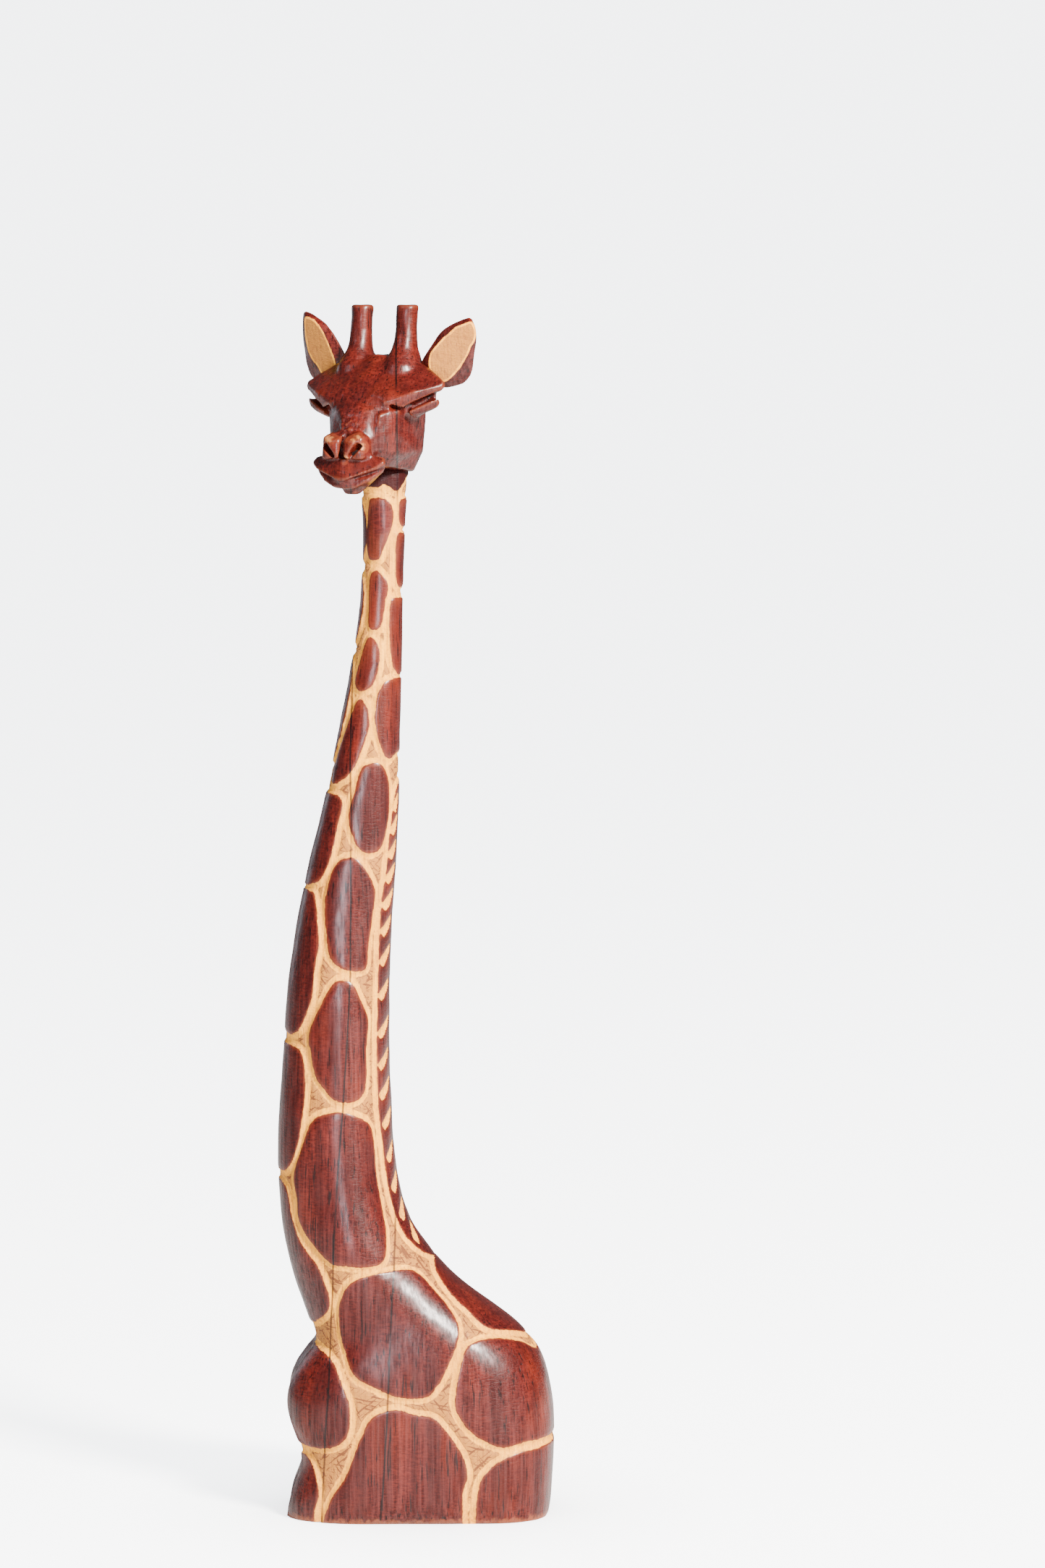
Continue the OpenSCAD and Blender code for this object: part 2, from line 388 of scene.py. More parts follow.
def draw_pattern(piece):
    """Signed distance, in millimetres, from the edge of the nearest spot: more than 0 on
    a spot and less than 0 in a gouged line. Also tells which places lie in the mane."""
    places = places_of(piece)
    x, y, z = places.T / MM
    side = np.stack([x, z], axis=1)
    rear = np.stack([y, z], axis=1)
    edges = SpotEdges(piece)
    stained = np.zeros(len(places), dtype=bool)

    for outline in SIDE_SPOTS.values():
        left = closed_curve(outline)
        right = flank_variation(left)
        stained |= inside(left, side) & (y <= 0)
        stained |= inside(right, side) & (y > 0)
        edges.drop(evenly_spaced(left), lambda a, b: (a, -FAR_AWAY, b), (0, 1, 0))
        edges.drop(evenly_spaced(right), lambda a, b: (a, FAR_AWAY, b), (0, -1, 0))

    middle = sum(chest_and_back(z)) / 2
    for shape in THROAT_SPOTS:
        curve = closed_curve(throat_outline(*shape))
        stained |= inside(curve, rear) & (x < middle)
        edges.drop(evenly_spaced(curve), lambda a, b: (-FAR_AWAY, a, b), (1, 0, 0))

    band = closed_curve(MANE + [(-w, h) for w, h in reversed(MANE)])
    in_band = inside(band, rear) & (x > middle)
    notched = np.zeros(len(places), dtype=bool)
    band_edge = evenly_spaced(band)
    rims = []
    for notch in mane_notches():
        notched |= inside(notch, rear) & in_band
        band_edge = band_edge[~inside(notch, band_edge)]
        rim = evenly_spaced(notch)
        rims.append(rim[inside(band, rim)])
    for outline in [band_edge] + rims:
        edges.drop(outline, lambda a, b: (FAR_AWAY, a, b), (-1, 0, 0))
    stained |= in_band & ~notched
    distance = distances_to(edges.points, places) / MM
    return np.where(stained, distance, -distance) + SPOT_MARGIN, in_band


def flank_variation(curve):
    """The right flank's version of an outline: repeated by eye, so a little off, with
    the parts at the chest and the back kept where they meet the left flank's."""
    x, z = curve.T
    chest, back = chest_and_back(z)
    inset = np.minimum(x - chest, back - x) / (back - chest)
    free = smooth_step(0.02, 0.3, inset)
    shift = np.stack([np.sin(z / 13 + 1) * 1.1, np.sin(z / 19 + x / 9) * 2.6], axis=1)
    return curve + shift * free[:, None]


def chest_and_back(z):
    """The x of the chest line and of the back line at given heights, in millimetres."""
    chest = np.interp(z, CHEST_LINE[:, 1], CHEST_LINE[:, 0])
    back = np.interp(z, BACK_LINE[:, 1], BACK_LINE[:, 0])
    return chest, back


def flank_lines(piece):
    """The chest line and the back line of the body as (x, z) rows, in millimetres."""
    x, y, z = places_of(piece).T / MM
    heights = np.arange(1, NECK_TOP / MM, 2)
    slices = [x[abs(z - height) < 1.5] for height in heights]
    chest = [(found.min(), height) for found, height in zip(slices, heights)]
    back = [(found.max(), height) for found, height in zip(slices, heights)]
    return np.array(chest), np.array(back)


# ---------------------------------------------------------------- body

BODY_VOXEL = 1.14 * MM
BASE_ALLOWANCE = 4 * MM
# How far the chest line stands out beyond the smoothed block: height, then millimetres
CHEST_FULLNESS = [
    (0, 1.5), (6, 1.1), (14, 0.8), (22, 1.3), (30, 1.6), (37, 1.7), (40.5, 1), (43, -0.3),
    (45.5, -0.3), (50, 0.3), (58, 0.7), (140, 0.7), (200, 1.1), (256, 1.3)
]

# The crown that runs up each flank: height, then x, in millimetres, with its width and rise
FLANK_CROWN = [(48, -9), (65, -15), (82, -17.5), (98, -18.5), (130, -18.5), (160, -15)]
CROWN_WIDTH = 9
CROWN_RISE = 2.1
CROWN_FOOT = (48 * MM, 72 * MM)
CROWN_END = (160 * MM, 125 * MM)
SLIM_NECK = (150 * MM, 222 * MM)
# The top of the neck flares into the head, and ends this much higher than the block
NECK_FLARE = 12 * MM
NECK_EXTENSION = 2.6 * MM


def lower_the_base(piece):
    """Leaves wood below the resting plane, so that smoothing spares the edge cut there."""
    places = places_of(piece)
    places[places[:, 2] < 0.2 * MM, 2] -= BASE_ALLOWANCE
    put_places(piece, places)


def shape_block(piece):
    """Gives back what the smoothing took off, fills out the chest line and the slim upper
    neck and lengthens it a little, so that its rounded top end is inside the head."""
    places = places_of(piece)
    x_out, y_out, z_out = normals_of(piece).T
    height = places[:, 2]
    upper = smooth_step(*SLIM_NECK, height)
    flare = smooth_step(NECK_TOP - NECK_FLARE, NECK_TOP, height)
    fuller = 0.22 * (1 - abs(z_out)) + 0.4 * flare
    chest = np.clip(-x_out, 0, 1) * np.interp(height / MM, *np.transpose(CHEST_FULLNESS))
    back = np.clip(x_out, 0, 1) * 0.2 * upper
    places[:, 0] += (x_out * fuller - chest + back) * MM
    crown_x = np.interp(height / MM, *np.transpose(FLANK_CROWN))
    away = (places[:, 0] / MM - crown_x) / CROWN_WIDTH
    crown = CROWN_RISE * np.exp(-away ** 2) * smooth_step(*CROWN_FOOT, height)
    crown *= smooth_step(*CROWN_END, height)
    places[:, 1] += y_out * (fuller + 0.3 * upper + crown) * MM
    places[:, 2] += NECK_EXTENSION * smooth_step(NECK_TOP - NECK_FLARE / 2, NECK_TOP, height)
    put_places(piece, places)


def saw_the_base_flat(piece):
    """Takes off the wood left below the resting plane."""
    with editing(piece):
        bpy.ops.mesh.bisect(
            plane_co=(0, 0, 0), plane_no=(0, 0, 1), use_fill=True, clear_inner=True
        )


body = copy_of_node("carved_body", "giraffe_body")
lower_the_base(body)
subdivide_smooth(body)
voxel_remesh(body, BODY_VOXEL)
relax(body, 6)
shape_block(body)
subdivide_smooth(body)
saw_the_base_flat(body)
CHEST_LINE, BACK_LINE = flank_lines(body)

# The tool marks: how densely they lie, to a metre, and their depth in millimetres
TOOLING_PER_METRE = 130
TOOLING_DEPTH = 0.12
BORE_CLEARANCE = 3 * MM
# The gouging fades out between these slopes of the surface, as it turns under the base
UNDERSIDE = (-0.95, -0.6)


def gouge(piece):
    """Sinks the lines between the spots, pillows the spots and leaves tool marks."""
    signed, in_band = draw_pattern(piece)
    put_attribute(piece, "spot", np.clip(signed, -SPOT_LIMIT, SPOT_LIMIT))
    places = places_of(piece)
    normals = normals_of(piece)
    from_axis = np.hypot(places[:, 0] - NECK_AXIS.x, places[:, 1] - NECK_AXIS.y)
    in_bore = (from_axis < BORE_CLEARANCE) & (places[:, 2] > dowel_low.z - MM)
    depth = np.where(in_band, NOTCH_DEPTH, GROOVE_DEPTH)
    channel = smooth_step(0, GROOVE_SHOULDER, -signed)
    channel -= LAND_SHARE * smooth_step(*CHANNEL_EDGE, -signed)
    sink = depth * channel - PILLOW_RISE * smooth_step(0, PILLOW_EDGE, signed)
    tooling = [noise.noise(Vector(place) * TOOLING_PER_METRE) for place in places]
    sink += np.array(tooling) * TOOLING_DEPTH
    sink[in_bore] = 0
    sink *= smooth_step(*UNDERSIDE, normals[:, 2])
    places -= normals * sink[:, None] * MM
    places[:, 2] = np.maximum(places[:, 2], 0)
    put_places(piece, places)


gouge(body)
put_ridge(body, 8)
make_active(body)
bpy.ops.object.shade_smooth_by_angle(angle=math.radians(65))


# ---------------------------------------------------------------- head

# Knife-cut blocks of the head, in millimetres: x across the face, -y out of the face,
# z from the resting plane. Each block is the solid between its corners. Blocks that come
# in pairs are given for the left side of the face and mirrored.
MIDDLE_BLOCKS = {
    "cranium": [
        (8.6, -3.4, 289.8), (6.5, 4, 290.4), (0, -5.2, 291.2), (0, 4.5, 291.2), (6, 6.6, 285),
        (8.4, 5.2, 276), (7.7, 5.2, 267), (5, 5.2, 261.9), (13, -1.5, 286.6),
        (11.6, -2, 280), (10.9, 0.4, 276), (10.1, 0.4, 267.4), (7.6, 0.2, 262),
        (7, -8.4, 284.8), (9.8, -11.4, 277.4)
    ],
    "forehead": [
        (4.6, -6.4, 289.4), (0, -6.4, 290), (7, -9.4, 284.4), (0, -12.6, 284.2),
        (4.4, -14.8, 280.4), (8.4, -13.6, 278.4), (1.6, -16.8, 278), (3.6, -16, 277),
        (8.4, -12, 276), (3, -8, 274)
    ],
    "muzzle": [
        (10.9, -0.5, 277), (9.9, -11.4, 277.6), (8, -11, 272.6), (10.1, 0, 267.4),
        (7.6, 0, 262.3), (6.4, -10.8, 263.3), (6.6, -11.4, 268), (1.2, -17.4, 277),
        (1, -20, 272.6), (6.4, -15.3, 276.4), (5.2, -16.4, 272), (4, -16.6, 278),
        (3.4, -18.6, 272), (5, -19.4, 268), (5.2, -18.6, 264)
    ],
    "chin": [
        (1.9, -19, 260), (1.5, -18.6, 256.8), (1.4, -15.6, 256.6), (3, -13.5, 258.6),
        (5.4, -10.6, 262), (3.4, -19, 261.4)
    ],
}
PAIRED_BLOCKS = {
    "brow": [
        (19.7, -5.2, 284.5), (19.5, -4.2, 283.4), (19.5, -6, 283), (17, -8.6, 282.8),
        (14.3, -11, 281.9), (11, -13, 280.7), (7.4, -14.8, 279), (4, -14.4, 281.6),
        (4.5, -7.8, 288.2), (9.4, -3, 290.4), (13.6, -2.4, 288), (13, 0.6, 284),
        (18.8, -6, 281.6), (16.4, -8, 280.7), (14.2, -9.8, 279.4), (11.2, -12, 277.8)
    ],
    "eye_back": [
        (17.4, -4.8, 283.6), (17, -4.8, 279.6), (12, 1.5, 285), (12, 1, 278.4),
        (10, -9, 282), (10, -9, 276.4), (14.6, -7.2, 278.4)
    ],
    "eyelid": [
        (11.8, -10.8, 277), (14.4, -9.8, 278.2), (16.8, -8.4, 279.6), (18.6, -6.9, 280.6),
        (18.9, -5.4, 279.6), (18.4, -6, 278.2), (16.6, -7.6, 277.3), (14.7, -7, 276.4),
        (12, -9.4, 275.8), (12.2, -6.4, 275.1), (12.4, -2.6, 279), (11, -3, 276)
    ],
    "nose_lobe": [
        (0.4, -20.4, 271.4), (3.6, -19.6, 272.5), (6.6, -18.8, 271.2), (7, -18.6, 266.8),
        (0.6, -22.8, 270.4), (5.4, -22.2, 270.9), (0.4, -23, 265.4), (5.9, -22, 265.2),
        (3.2, -23.4, 269.6)
    ],
    "upper_lip": [
        (0, -22.8, 261.8), (0, -22.8, 260), (0, -16.6, 260.4), (0, -21.6, 266),
        (3, -22.6, 260.4), (6.4, -21.6, 261.6), (9, -20.4, 263.2), (10.4, -19.2, 264.8),
        (10.2, -18.4, 264), (9.6, -17.6, 266.2), (8.8, -15.4, 264.2), (5.4, -19.4, 266.8),
        (5, -15.6, 261.6)
    ],
    "lower_lip": [
        (0, -21.8, 259.8), (0, -21.4, 258), (0, -16.6, 258.2), (3.4, -21.2, 258.4),
        (6.6, -20.2, 260), (8.8, -19, 261.8), (9.9, -17.8, 263.6), (8, -14, 262.6),
        (3, -14, 259)
    ],
}
# The cheek that the turned head shows is left fuller than the other
FULL_CHEEK = [
    (10.2, -11.2, 277.4), (10.1, -11.7, 272), (9.3, -11.7, 266.5), (6.6, -11, 263.3),
    (6.4, -15.2, 276.4), (6, -16.6, 272), (5.4, -17.2, 268), (5, -16, 264.5),
    (10.3, -2, 276), (10, -2, 267), (4, -8, 277), (4, -8, 264),
    (8.7, -13.8, 277.4), (9, -14, 272), (8.5, -13.9, 267), (7, -16.2, 276.6),
    (7.2, -16.5, 271.5), (6.8, -16.6, 267.5)
]
# What the knife takes away again, on both sides of the face
PAIRED_CUTS = {
    "eye_slit": [
        (11.2, -14.4, 277.9), (11.2, -14.4, 277), (20.6, -8, 282.7), (20.6, -8, 281.2),
        (20.6, -5.4, 282.5), (20.6, -5.4, 281.3), (11.8, -8.4, 278.6), (11.8, -8.4, 277.4),
        (15.4, -5.4, 281.2), (15.4, -5.4, 279.8), (14, -12.4, 278.7)
    ],
    "nostril": [
        (1.6, -24.6, 266.4), (2.4, -24.6, 265), (2.2, -20, 266), (4, -24.6, 270.2),
        (6.2, -23.4, 268.6), (4.8, -18.6, 269)
    ],
    "mouth": [
        (0, -24.4, 260), (0, -24.4, 259.5), (0, -21.6, 259.8), (7, -22.4, 261.2),
        (7, -22.4, 260.7), (11.6, -20, 264.1), (11.6, -20, 263.6), (6, -19.9, 261.2),
        (10.6, -17.4, 263.8)
    ],
}
# The groove down the middle of the nose
NOSE_GROOVE = [
    (-0.6, -24, 271.6), (0.6, -24, 271.6), (-0.3, -24, 262), (0.3, -24, 262),
    (0, -21.9, 271.6), (0, -22.6, 262)
]
# Rough chips left across the bridge of the nose, and how far round it they reach
CHIPPED_PLACE = (0.4, -18.4, 273.6)
CHIPPED_REACH = 4.4
# Where handling has worn the stain thin: the nose and the rims of the nostrils
WORN_PLACES = [
    ((-3.4, -22.6, 271), 2.8), ((3.6, -22.4, 271.2), 2.8), ((6, -21.4, 268.6), 2),
    ((0.8, -22.8, 265.5), 2)
]
WORN_DEPTH = 0.44
# One horn from the skull up: height, half width across and along the head, setback
HORN_PROFILE = [
    (285.5, 5.8, 6.4, -3), (288.4, 4.9, 5.9, -2.8), (290.6, 3.9, 4.9, -2.2),
    (292.4, 3.2, 3.8, -1.7), (294.6, 2.85, 3.2, -1.3), (297.5, 2.7, 2.8, -1),
    (300.8, 2.7, 2.7, -0.7), (302.9, 2.9, 2.8, -0.4), (303.45, 2.7, 2.6, -0.4)
]
HORN_SPREAD = 6.4
ROUGH_VOXEL = 0.42 * MM
HEAD_VOXEL = 0.3 * MM
HEAD_PLACE = (
    Matrix.Translation((NECK_AXIS.x, NECK_AXIS.y, 0)) @ Matrix.Rotation(-HEAD_TURN, 4, "Z")
)
# The size and the depth of the knife's flats, all over and on the chipped place
FLATS = (3.2, 0.16)
CHIPS = (1.3, 0.5)


def solid_between(name, corners):
    """The solid between given corners, in millimetres."""
    piece = new_piece(name, [Vector(corner) * MM for corner in corners])
    with editing(piece):
        bpy.ops.mesh.convex_hull()
        face_outwards()
    return piece


def mirrored(corners):
    return [(-x, y, z) for x, y, z in corners]


def both_sides(blocks):
    """Each block of a set, on the left side of the face and on the right."""
    made = []
    for name, corners in blocks.items():
        made += [solid_between(name, corners), solid_between(name, mirrored(corners))]
    return made


def join(pieces, name):
    deselect_all()
    for piece in pieces:
        piece.select_set(True)
    bpy.context.view_layer.objects.active = pieces[0]
    bpy.ops.object.join()
    pieces[0].name = name
    return pieces[0]


def horn(side):
    """One horn: a round stub that flares into the skull."""
    low, across, along, setback = HORN_PROFILE[0]
    bpy.ops.mesh.primitive_circle_add(
        vertices=24, radius=MM, fill_type="NGON",
        location=(side * HORN_SPREAD * MM, setback * MM, low * MM),
    )
    piece = bpy.context.object
    with editing(piece):
        bpy.ops.transform.resize(value=(across, along, 1))
        for before, after in zip(HORN_PROFILE, HORN_PROFILE[1:]):
            step = (0, (after[3] - before[3]) * MM, (after[0] - before[0]) * MM)
            bpy.ops.mesh.extrude_region_move(TRANSFORM_OT_translate={"value": step})
            bpy.ops.transform.resize(value=(after[1] / before[1], after[2] / before[2], 1))
        face_outwards()
    bpy.ops.object.transform_apply(location=True, rotation=True, scale=True)
    return piece


def cut_away(piece, cutter):
    apply_modifier(piece, "BOOLEAN", operation="DIFFERENCE", object=cutter, solver="EXACT")
    bpy.data.objects.remove(cutter)


def knife_facets(piece, size, depth, share=1):
    """Shallow flats of a hand-held knife, each about the given size in millimetres."""
    places = places_of(piece)
    normals = normals_of(piece)
    heights = [noise.voronoi(Vector(place) / (size * MM))[0][0] for place in places]
    sink = (np.array(heights) - 0.4) * depth * share
    put_places(piece, places - normals * sink[:, None] * MM)


def near_place(piece, place, reach):
    """1 at a place and 0 beyond a reach round it, both in millimetres."""
    away = np.linalg.norm(places_of(piece) / MM - np.array(place), axis=1)
    return smooth_step(reach, reach * 0.3, away)


def carve_head():
    blocks = [solid_between(name, corners + mirrored(corners))
              for name, corners in MIDDLE_BLOCKS.items()]
    blocks += both_sides(PAIRED_BLOCKS)
    blocks.append(solid_between("full_cheek", FULL_CHEEK))
    blocks += [horn(-1), horn(1)]
    piece = join(blocks, "giraffe_head")
    voxel_remesh(piece, ROUGH_VOXEL)
    relax(piece, 5)
    for cutter in [solid_between("nose_groove", NOSE_GROOVE)] + both_sides(PAIRED_CUTS):
        cut_away(piece, cutter)
    voxel_remesh(piece, HEAD_VOXEL)
    relax(piece, 5)
    knife_facets(piece, *FLATS)
    knife_facets(piece, *CHIPS, near_place(piece, CHIPPED_PLACE, CHIPPED_REACH))
    worn = sum(near_place(piece, place, reach) for place, reach in WORN_PLACES)
    put_ridge(piece, 12, WORN_DEPTH * worn)
    piece.data.transform(HEAD_PLACE)
    put_attribute(piece, "spot", np.full(len(piece.data.vertices), SPOT_LIMIT))
    shade_smooth(piece)
    return piece


head = carve_head()


# ---------------------------------------------------------------- ears

EAR_ROOT = (14.4, 0, 284.5)
EAR_LEAN = math.radians(30)
TENON_RADIUS = 1.2
TENON_LENGTH = 4
# How far the tenon reaches up inside the ear
TENON_HEAD = 2

# The outline of each ear and of the flat cut on its front that is left bare, from the tip
# round: millimetres across the ear and up it from its root. They differ, as carved.
EARS = {
    "ear_left": {
        "side": 1, "turn": 22,
        "outline": [
            (0.2, 18.3), (-2.1, 15.9), (-3.7, 13.6), (-4.7, 11.3), (-5.2, 7.5), (-5.6, 3.3),
            (-5.2, 1), (-3, -0.6), (0, -1.2), (2.7, -0.6), (4.6, 0.9), (6.2, 2.5), (6.9, 4.8),
            (6.6, 7.2), (5.4, 10.5), (4.3, 13.8), (2.9, 16.3), (1.6, 17.6)
        ],
        "bare": [
            (0.9, 17.6), (-0.6, 16.1), (-1.8, 14.7), (-2.4, 12.9), (-3.3, 10.9), (-4, 8.4),
            (-4.4, 6.5), (-4.3, 5.1), (-3.7, 3.5), (-2.8, 2.1), (-1.2, 1.1), (0.7, 0.7),
            (2, 1.2), (2.8, 2.6), (3.6, 5.4), (3.9, 8), (4, 10), (3.8, 12.3), (4, 13.9),
            (3.4, 15.7), (2.2, 17.2)
        ],
    },
    "ear_right": {
        "side": -1, "turn": 16,
        "outline": [
            (0.6, 19.4), (-1.7, 17.1), (-3.5, 14.5), (-5, 11.6), (-6.4, 8.8), (-7, 6.5),
            (-7, 4.8), (-5.6, 2), (-3, -0.5), (0, -1.2), (3.5, -0.5), (5.6, 1.8), (6.5, 4.4),
            (6.2, 9.9), (5.7, 12.1), (5.2, 14), (3.8, 16.3), (2.4, 18.3)
        ],
        "bare": [
            (1.3, 17.6), (-0.5, 15.3), (-1.8, 13), (-2.6, 10.9), (-2.9, 9.2), (-2.8, 7.4),
            (-2.3, 5.7), (-2.2, 3.7), (-1, 1.2), (2, 0.6), (3.6, 2.9), (4.3, 6.4), (4.6, 9.8),
            (4.6, 12.6), (4, 14.8), (3.2, 16.3)
        ],
    },
}
# Rings from the bare cut over the rim to the rounded back: share of the outline's size,
# then how far behind the middle of the ear. The first ring is the cut itself.
EAR_RINGS = [(1, -1.25), (1, 0.1), (0.93, 0.9), (0.68, 1.5), (0.3, 1.85)]
EAR_RING_POINTS = 72
EAR_VOXEL = 0.22 * MM
# The bare cut of an ear is left rough and dark, as the lands between the gouged lines are
EAR_DARKENING = 3


def leaf_blank(name, outline, bare):
    """The leaf of an ear: rings of places joined by faces, from the bare cut to the back."""
    count = EAR_RING_POINTS
    places = []
    for share, depth in EAR_RINGS:
        ring = evenly_spaced(closed_curve(outline if places else bare), count)
        middle = ring.mean(axis=0)
        ring = middle + (ring - middle) * share
        places += [(u * MM, depth * MM, v * MM) for u, v in ring]
    last = len(places) - count
    faces = [tuple(range(count)), tuple(reversed(range(last, len(places))))]
    for start in range(0, last, count):
        for i in range(count):
            a, b = start + i, start + (i + 1) % count
            faces.append((b, a, a + count, b + count))
    return new_piece(name, places, faces)


def tenon():
    """The round tenon below the root of an ear."""
    bpy.ops.mesh.primitive_cylinder_add(
        vertices=32, radius=TENON_RADIUS * MM, depth=(TENON_LENGTH + TENON_HEAD) * MM,
        location=(0, 0, (TENON_HEAD - TENON_LENGTH) / 2 * MM),
    )
    bpy.ops.object.transform_apply(location=True, rotation=True, scale=True)
    return bpy.context.object


def mark_bare_cut(piece, bare):
    """Marks the flat cut on the front of an ear as bare wood."""
    across, depth, up = places_of(piece).T / MM
    front = np.stack([across, up], axis=1)
    cut_edge = evenly_spaced(closed_curve(bare), 400)
    away = distances_to([(a, b, 0) for a, b in cut_edge], [(a, b, 0) for a, b in front])
    in_cut = inside(cut_edge, front) & (depth < 0)
    spot = np.where(in_cut, -away * EAR_DARKENING, np.maximum(away, depth + 0.6))
    put_attribute(piece, "spot", np.clip(spot, -SPOT_LIMIT, SPOT_LIMIT))


def carve_ear(name, side, turn, outline, bare):
    piece = join([leaf_blank(name, outline, bare), tenon()], "carved_" + name)
    with editing(piece):
        face_outwards()
    voxel_remesh(piece, EAR_VOXEL)
    relax(piece, 2)
    mark_bare_cut(piece, bare)
    put_ridge(piece, 12)
    out, setback, up = EAR_ROOT
    piece.data.transform(
        HEAD_PLACE
        @ Matrix.Translation(Vector((side * out, setback, up)) * MM)
        @ Matrix.Rotation(side * EAR_LEAN, 4, "Y")
        @ Matrix.Rotation(side * math.radians(turn), 4, "Z")
    )
    shade_smooth(piece)
    return piece


ears = {name: carve_ear(name, **shape) for name, shape in EARS.items()}


# ---------------------------------------------------------------- materials

class Wiring:
    """Short words for the nodes that the materials use."""

    def __init__(self, tree):
        self.tree = tree

    def new(self, kind):
        return self.tree.nodes.new("ShaderNode" + kind)

    def feed(self, socket, value):
        if isinstance(value, bpy.types.NodeSocket):
            self.tree.links.new(value, socket)
        elif value is not None:
            socket.default_value = value

    def place(self, scale=(1, 1, 1), turn=(0, 0, 0), shift=(0, 0, 0)):
        mapping = self.new("Mapping")
        mapping.inputs["Location"].default_value = shift
        mapping.inputs["Rotation"].default_value = turn
        mapping.inputs["Scale"].default_value = scale
        self.feed(mapping.inputs["Vector"], self.new("TexCoord").outputs["Object"])
        return mapping.outputs["Vector"]

    def stretch(self, vector, scale):
        mapping = self.new("Mapping")
        mapping.inputs["Scale"].default_value = scale
        self.feed(mapping.inputs["Vector"], vector)
        return mapping.outputs["Vector"]

    def along(self, axis):
        """How far a place is along X, Y or Z, in metres."""
        apart = self.new("SeparateXYZ")
        self.feed(apart.inputs["Vector"], self.new("TexCoord").outputs["Object"])
        return apart.outputs[axis]

    def noise(self, vector, detail, roughness=0.5, distortion=0.0):
        node = self.new("TexNoise")
        self.feed(node.inputs["Vector"], vector)
        node.inputs["Scale"].default_value = 1
        node.inputs["Detail"].default_value = detail
        node.inputs["Roughness"].default_value = roughness
        node.inputs["Distortion"].default_value = distortion
        return node.outputs["Fac"]

    def maths(self, operation, a, b=0.0, c=0.0):
        node = self.new("Math")
        node.operation = operation
        for socket, value in zip(node.inputs, (a, b, c)):
            self.feed(socket, value)
        return node.outputs[0]

    def times(self, a, b):
        return self.maths("MULTIPLY", a, b)

    def ramp(self, value, low, high, low_out=0.0, high_out=1.0, smooth=True):
        node = self.new("MapRange")
        node.interpolation_type = "SMOOTHSTEP" if smooth else "LINEAR"
        self.feed(node.inputs["Value"], value)
        self.feed(node.inputs["From Min"], low)
        self.feed(node.inputs["From Max"], high)
        self.feed(node.inputs["To Min"], low_out)
        self.feed(node.inputs["To Max"], high_out)
        return node.outputs["Result"]

    def blend(self, share, low_out, high_out):
        """From one value to another as a share goes from 0 to 1."""
        return self.ramp(share, 0, 1, low_out, high_out, False)

    def mix(self, share, a, b):
        node = self.new("Mix")
        node.data_type = "RGBA"
        self.feed(node.inputs["Factor"], share)
        self.feed(node.inputs["A"], a)
        self.feed(node.inputs["B"], b)
        return node.outputs["Result"]

    def layers(self, colour, over):
        """Lays more colours over a colour, each with its own share."""
        for share, next_colour in over:
            colour = self.mix(share, colour, next_colour)
        return colour

    def attribute(self, name):
        node = self.new("Attribute")
        node.attribute_name = name
        return node.outputs["Fac"]

    def bump(self, height, distance, strength, normal=None):
        node = self.new("Bump")
        node.inputs["Strength"].default_value = strength
        node.inputs["Distance"].default_value = distance
        self.feed(node.inputs["Height"], height)
        self.feed(node.inputs["Normal"], normal)
        return node.outputs["Normal"]

    def group(self, tree):
        node = self.new("Group")
        node.node_tree = tree
        return node.outputs


def new_group(name, outputs):
    """An empty node group with named outputs, its wiring and its end."""
    tree = bpy.data.node_groups.new(name, "ShaderNodeTree")
    for output in outputs:
        tree.interface.new_socket(output, in_out="OUTPUT", socket_type="NodeSocketFloat")
    wire = Wiring(tree)
    end = tree.nodes.new("NodeGroupOutput")
    return tree, wire, end.inputs


def grain_group():
    """Wood grain along Z: streaks, pores, cross flecks, bands and blotches, from 0 to 1."""
    tree, wire, end = new_group("wood_grain", ["Streaks", "Pores", "Flecks", "Bands", "Blotches"])
    streaks = wire.noise(wire.place((1500, 1500, 45)), detail=4, roughness=0.6)
    dashes = wire.noise(wire.place((2100, 2100, 130)), detail=1)
    flecks = wire.noise(wire.place((700, 700, 2200)), detail=2, roughness=0.6)
    bands = wire.noise(wire.place((330, 330, 9)), detail=2)
    blotches = wire.noise(wire.place((85, 85, 45)), detail=4, roughness=0.62)
    wire.feed(end["Streaks"], wire.ramp(streaks, 0.3, 0.7))
    wire.feed(end["Pores"], wire.ramp(dashes, 0.6, 0.7))
    wire.feed(end["Flecks"], wire.ramp(flecks, 0.36, 0.66))
    wire.feed(end["Bands"], wire.ramp(bands, 0.35, 0.65))
    wire.feed(end["Blotches"], wire.ramp(blotches, 0.32, 0.68))
    return tree


# Growth rings that cross the block as dark hairlines: (height, x) in millimetres. Each
# shows from its first point to its last.
RING_LINES = [
    [(0.5, -24.6), (19, -23.7), (48, -22.2), (66, -21.5), (83, -20.6), (110, -18.7),
     (128, -17.6), (146, -17), (171, -17.2), (203, -17), (256, -16.8)],
    [(0.5, -9.9), (11, -9.1), (29, -8.2), (47, -7.3), (74, -6.3)],
    [(258, -5.6), (272, -5.3), (286, -5.7), (300, -5.6)],
]
# The curves of the rings span heights from 0 to the top, and x from the reach to 0
RING_TOP = 305
RING_REACH = 30
# A ring wanders by this much, and its line fades out between these distances
RING_WANDER = 1.2 * MM
RING_EDGE = (0.12 * MM, 0.34 * MM)


